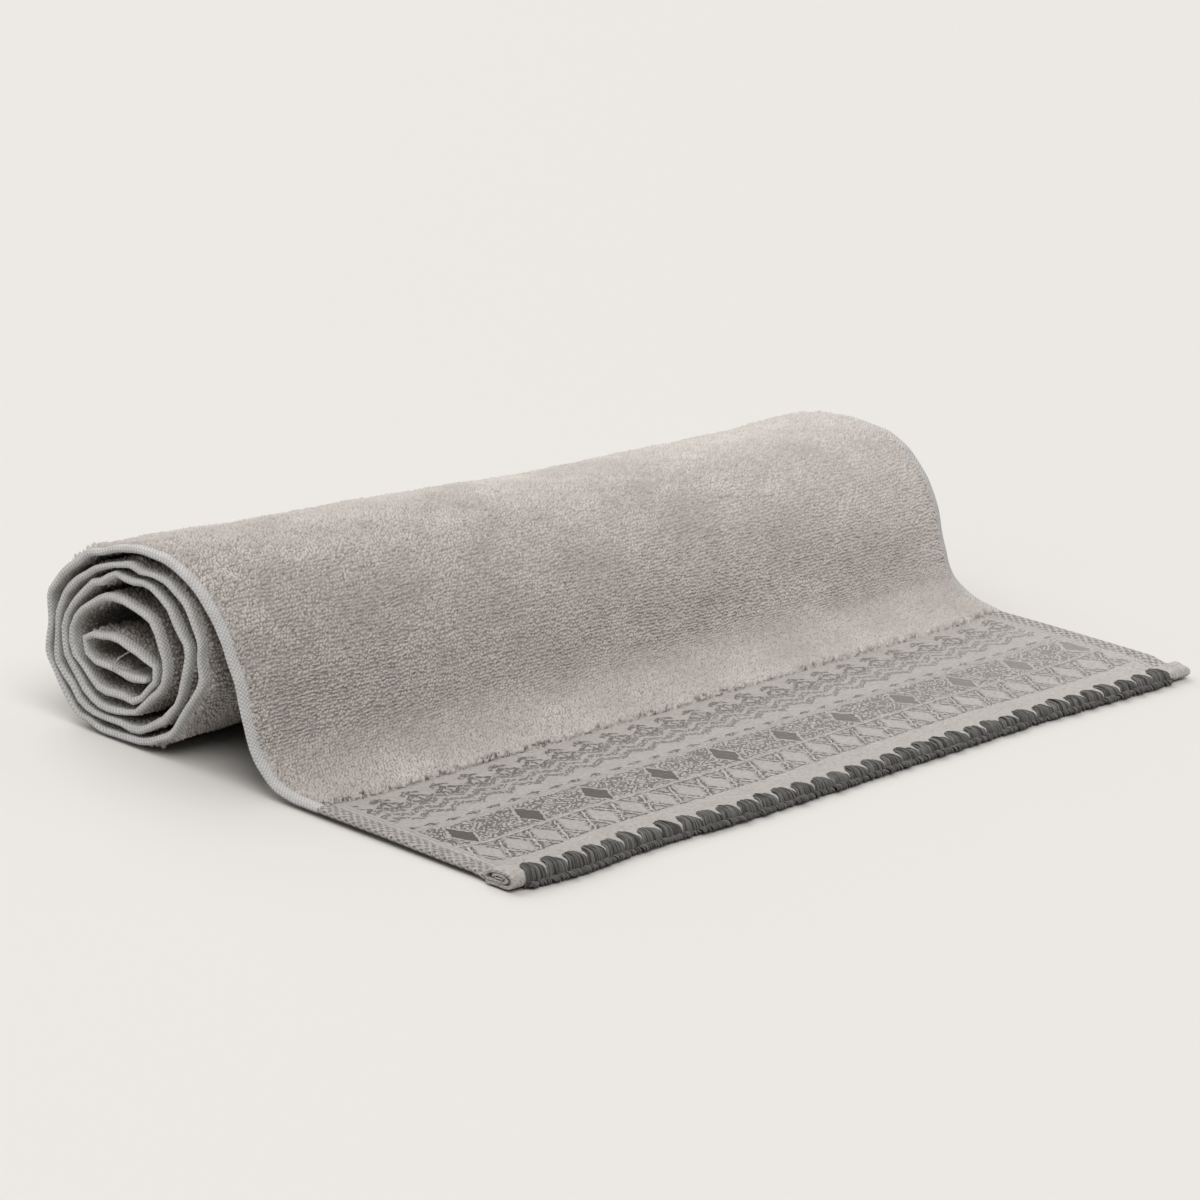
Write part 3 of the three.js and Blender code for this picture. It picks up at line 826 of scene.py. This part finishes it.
def tubes(name, paths, radii, shades, material, lay=rollUp):
    # one joined mesh of round strands; each path is a list of points, which lay puts in the frame
    sides = stitch["sides"]
    turn = np.linspace(0, 2 * math.pi, sides, endpoint=False)
    patterns, faces, strandShades, first = [], [], [], 0
    for path, radius, shade in zip(paths, radii, shades):
        ahead = np.gradient(path, axis=0)
        ahead /= np.linalg.norm(ahead, axis=1)[:, None]
        side = np.cross(ahead, np.array([1.0, 0.17, 0.31]))
        side /= np.linalg.norm(side, axis=1)[:, None]
        other = np.cross(ahead, side)
        thin = radius * np.ones(len(path))
        thin[[0, -1]] *= stitch["thinEnd"]
        ring = (path[:, None] + thin[:, None, None] * (np.cos(turn)[None, :, None] * side[:, None]
                                                       + np.sin(turn)[None, :, None] * other[:, None]))
        patterns.append(ring.reshape(-1, 3))
        strandShades.append(np.full(len(path) * sides, shade, np.float32))
        at = first + np.arange(len(path))[:, None] * sides
        here, after = np.arange(sides), (np.arange(sides) + 1) % sides
        quads = np.stack([at[:-1] + here, at[:-1] + after, at[1:] + after, at[1:] + here], 2)
        faces.extend(quads.reshape(-1, 4).tolist())
        faces.append(list(range(first + sides - 1, first - 1, -1)))
        faces.append(list(range(first + (len(path) - 1) * sides, first + len(path) * sides)))
        first += len(path) * sides
    pattern = np.vstack(patterns)
    mesh = bpy.data.meshes.new(name)
    mesh.from_pydata(lay(pattern).tolist(), [], faces)
    keepPattern(mesh, pattern)
    mesh.polygons.foreach_set("use_smooth", [True] * len(mesh.polygons))
    bm = bmesh.new()
    bm.from_mesh(mesh)
    bmesh.ops.recalc_face_normals(bm, faces=bm.faces[:])
    bm.to_mesh(mesh)
    bm.free()
    layer = mesh.attributes.new("strandShade", "FLOAT", "POINT")
    layer.data.foreach_set("value", np.concatenate(strandShades))
    piece = finishMesh(name, mesh, material)
    return piece


def aroundHem(u, t, reach, out):
    # a strand's way at shares t: from under the hem, round its front edge and back over its top
    tall = towel["hemThick"] + alongValue("rolled", u)
    under, front, over = 0.22, 0.42, 1.0
    v = np.interp(t, [0, under, (under + front) / 2, front, over], [stitch["under"], 0.6, -0.75, 0.9, reach])
    level = np.interp(t, [0, under, (under + front) / 2, front, over], [0, 1, 2, 3, 4])
    below, above = 0 * tall - stitch["radius"], tall + stitch["radius"]
    heights = np.stack([below, below, tall * 0.5, above, tall + 0.1])
    whole = np.minimum(level.astype(int), 3)
    part = level - whole
    picked = np.take_along_axis(heights, whole[None], 0)[0] * (1 - part)
    picked += np.take_along_axis(heights, whole[None] + 1, 0)[0] * part
    swell = np.sin(np.clip((t - front) / (over - front), 0, 1) * math.pi)
    return v, picked + out * (0.3 + 0.7 * swell)


def makeStitches(material):
    rng = np.random.default_rng(stitch["seed"])
    pitch = (stitch["end"] - stitch["start"]) / stitch["count"]
    t = np.linspace(0, 1, stitch["steps"])
    paths, radii, shades = [], [], []
    for i in range(stitch["count"]):
        foot = stitch["start"] + (i + stitch["footAt"]) * pitch + rng.normal() * stitch["footSpread"]
        reach = stitch["reach"] * (1 + stitch["reachSpread"] * rng.normal())
        for k in range(stitch["strands"]):
            aside = (k + 0.5) / stitch["strands"] * 2 - 1
            own = reach * (1 - stitch["roundTip"] * abs(aside) ** 3) + stitch["ownSpread"] * rng.normal()
            u0 = foot + aside * stitch["footWide"] / 2 * np.ones_like(t)
            out = stitch["puff"] * (1 - stitch["puffFall"] * abs(aside)) + stitch["puffSpread"] * rng.normal()
            v, h = aroundHem(u0, t, own, out)
            up = 1 - (1 - np.clip(v / stitch["reach"], 0, 1)) ** stitch["gather"]
            tip = foot + stitch["lean"] * stitch["reach"] + aside * stitch["tipWide"] / 2
            u = u0 + (tip - u0) * up + stitch["sideSpread"] * rng.normal()
            paths.append(np.stack([u, v, h], 1))
            radii.append(stitch["radius"] * (1 + stitch["thickSpread"] * rng.normal()))
            shades.append(rng.uniform(0, 1))
    return tubes("edgeStitches", paths, radii, shades, material)


ridge = dict(
    strands=8, radius=0.36, twist=0.95, turns=2.6, forward=-0.8, height=1.1, step=0.45,
    lump=0.75, lumpCell=3.6, swell=0.35, wander=1.3, wanderCell=7, loose=0.5, looseCell=3, seed=81,
)


def makeRidge(material):  # the stitching's lower yarn, twisted along the hem's front edge
    rng = np.random.default_rng(ridge["seed"])
    pitch = (stitch["end"] - stitch["start"]) / stitch["count"]
    u = np.arange(stitch["start"] + 1, stitch["end"], ridge["step"])
    share = (u - stitch["start"]) / pitch
    lumps = ridge["lump"] * softNoise(u, 0 * u, ridge["lumpCell"], ridge["seed"])
    lumps += ridge["swell"] * np.cos(2 * math.pi * share)
    paths = []
    for k in range(ridge["strands"]):
        angle = (ridge["turns"] * share + k / ridge["strands"]) * 2 * math.pi
        angle += ridge["wander"] * softNoise(u, 0 * u, ridge["wanderCell"], ridge["seed"] + 1 + k)
        looseness = ridge["loose"] * softNoise(u, 0 * u, ridge["looseCell"], ridge["seed"] + 11 + k)
        out = ridge["twist"] * (1 + looseness)
        v = ridge["forward"] + out * np.cos(angle) - lumps
        h = ridge["height"] + out * np.sin(angle) + 0.5 * lumps
        paths.append(np.stack([u, v, h], 1))
    shades = rng.uniform(0.3, 1.2, len(paths))
    return tubes("edgeRidge", paths, [ridge["radius"]] * len(paths), shades, material)


# the bare end of the rolled hem at the near corner, as lines in the flat pattern's v and h
rollRows = [
    dict(name="hemRollOuter", thick=1.3, line=[(14.8, 3.0), (12.4, 4.5), (9.0, 5.5), (4.8, 5.7), (1.6, 5.0),
                                              (0.3, 3.2), (1.2, 1.4), (3.6, 0.6), (8.0, 0.55), (14.0, 0.55)]),
    dict(name="hemRollInner", thick=1.1, line=[(13.4, 1.9), (9.0, 1.85), (5.2, 1.9), (3.2, 3.1), (5.2, 4.3),
                                             (8.2, 4.3), (10.6, 3.5)]),
    dict(name="hemRollInmost", thick=0.7, line=[(5.2, 3.05), (7.0, 3.15), (9.4, 2.9)]),
]
rollEnd = dict(
    outer=-201.3, inner=-194.0, soften=0.3,
    weaveU=-100, weaveV=15,  # a plain stretch of the border's weave
)


def makeRollEnd(row, material):
    line = throughPoints(row["line"], 6)
    ahead = np.gradient(line, axis=0)
    ahead /= np.linalg.norm(ahead, axis=1)[:, None]
    aside = np.stack([-ahead[:, 1], ahead[:, 0]], 1) * row["thick"] / 2
    outline = np.vstack([line + aside, (line - aside)[::-1]])
    bm = bmesh.new()
    face = bm.faces.new([bm.verts.new((rollEnd["outer"], v, h)) for v, h in outline])
    made = bmesh.ops.extrude_face_region(bm, geom=[face])
    moved = [item for item in made["geom"] if isinstance(item, bmesh.types.BMVert)]
    bmesh.ops.translate(bm, verts=moved, vec=(rollEnd["inner"] - rollEnd["outer"], 0, 0))
    rim = [edge for edge in bm.edges if all(vert.co.x < rollEnd["outer"] + 0.01 for vert in edge.verts)]
    bmesh.ops.bevel(bm, geom=rim, offset=rollEnd["soften"], offset_type="OFFSET", segments=2, profile=0.5,
                    affect="EDGES", material=-1)
    bmesh.ops.recalc_face_normals(bm, faces=bm.faces[:])
    mesh = bpy.data.meshes.new(row["name"])
    bm.to_mesh(mesh)
    bm.free()
    pattern = readPoints(mesh)
    weaveU = pattern[:, 1] + pattern[:, 2] + rollEnd["weaveU"]
    weaveV = pattern[:, 0] - rollEnd["outer"] + rollEnd["weaveV"]
    keepPattern(mesh, np.stack([weaveU, weaveV], 1))
    writePoints(mesh, rollUp(pattern))
    piece = finishMesh(row["name"], mesh, material)
    return piece


for row in rollRows:
    makeRollEnd(row, woven)

# loose ends of sewing thread in the roll's core, by x, y from the hem line, and z
threadRadius = 0.16
threadRows = [
    [(-196, 213.0, 40.0), (-199, 215.0, 38.9), (-201, 219.2, 35.4), (-200, 224.6, 29.9), (-197, 226.5, 29.0)],
    [(-196, 223.5, 28.5), (-199, 221.0, 30.8), (-201, 221.2, 32.4), (-199, 222.4, 34.0), (-196, 224.0, 34.6)],
    [(-197, 216.5, 31.0), (-200, 219.4, 31.6), (-201, 222.0, 33.1), (-199, 224.5, 33.4)],
]


def makeLooseThreads(material):
    paths = [throughPoints(points, 6) + [0, hemLineY, 0] for points in threadRows]
    radii, shades = [threadRadius] * len(paths), [1.0] * len(paths)
    return tubes("looseThreads", paths, radii, shades, material, lambda points: points * mm)


makeLooseThreads(canvas)

stitches = makeStitches(yarn)
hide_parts("edge_stitches")
makeRidge(yarn)
print("stitches made")

# floor, light and camera
stageSizes = dict(floor=6.0, floorColor=(0.60, 0.585, 0.565))
bm = bmesh.new()
bmesh.ops.create_grid(bm, x_segments=1, y_segments=1, size=stageSizes["floor"])
floorMesh = bpy.data.meshes.new("floor")
bm.to_mesh(floorMesh)
bm.free()
floor = bpy.data.objects.new("floor", floorMesh)
bpy.context.scene.collection.objects.link(floor)
floorMesh.materials.append(newMaterial("paleFloor", stageSizes["floorColor"], 0.9))

sky = dict(low=0.06, high=0.66, start=0.0, end=0.85, color=(1.0, 0.99, 0.975))


def makeWorld():  # a dome that is brighter overhead than at the sides
    world = bpy.data.worlds.new("studio")
    bpy.context.scene.world = world
    world.use_nodes = True
    tree = world.node_tree
    place = tree.nodes.new("ShaderNodeTexCoord")
    split = tree.nodes.new("ShaderNodeSeparateXYZ")
    tree.links.new(place.outputs["Generated"], split.inputs[0])
    span = tree.nodes.new("ShaderNodeMapRange")
    for name, value in (("From Min", "start"), ("From Max", "end"), ("To Min", "low"), ("To Max", "high")):
        span.inputs[name].default_value = sky[value]
    tree.links.new(split.outputs["Z"], span.inputs["Value"])
    back = tree.nodes["Background"]
    back.inputs["Color"].default_value = (*sky["color"], 1)
    tree.links.new(span.outputs["Result"], back.inputs["Strength"])


makeWorld()
bpy.context.scene.view_settings.view_transform = "Standard"

lampColor = (1.0, 0.985, 0.965)
lamps = [
    dict(name="frontLamp", toward=(-0.35, -0.6, 1.0), wide=40.0, strength=1.75),
    dict(name="backLamp", toward=(0.1, 0.8, 0.7), wide=60.0, strength=1.95),
]


def makeLamp(row):  # a wide, far lamp
    data = bpy.data.lights.new(row["name"], "SUN")
    data.angle = math.radians(row["wide"])
    data.energy = row["strength"]
    data.color = lampColor
    lamp = bpy.data.objects.new(row["name"], data)
    lamp.location = row["toward"]
    lamp.rotation_euler = Vector(row["toward"]).to_track_quat("Z", "Y").to_euler()
    bpy.context.scene.collection.objects.link(lamp)


for row in lamps:
    makeLamp(row)

view = dict(
    place=(-1393.4, -1191.7, 625.9),  # millimetres, with Y from the hem line
    heading=43.99, down=16.94, roll=2.01, focal=4942.0, picture=1200,
)


def makeCamera():
    heading, down, roll = (math.radians(view[name]) for name in ("heading", "down", "roll"))
    ahead = Vector((math.cos(heading) * math.cos(down), math.sin(heading) * math.cos(down), -math.sin(down)))
    level = ahead.cross(Vector((0, 0, 1))).normalized()
    upright = level.cross(ahead)
    right = level * math.cos(roll) + upright * math.sin(roll)
    up = upright * math.cos(roll) - level * math.sin(roll)
    data = bpy.data.cameras.new("photoCamera")
    data.sensor_width = 36
    data.lens = view["focal"] / view["picture"] * data.sensor_width
    camera = bpy.data.objects.new("photoCamera", data)
    x, y, z = view["place"]
    turn = Matrix((right, up, -ahead)).transposed().to_4x4()
    camera.matrix_world = Matrix.Translation((x * mm, (y + hemLineY) * mm, z * mm)) @ turn
    bpy.context.scene.collection.objects.link(camera)
    bpy.context.scene.camera = camera


makeCamera()
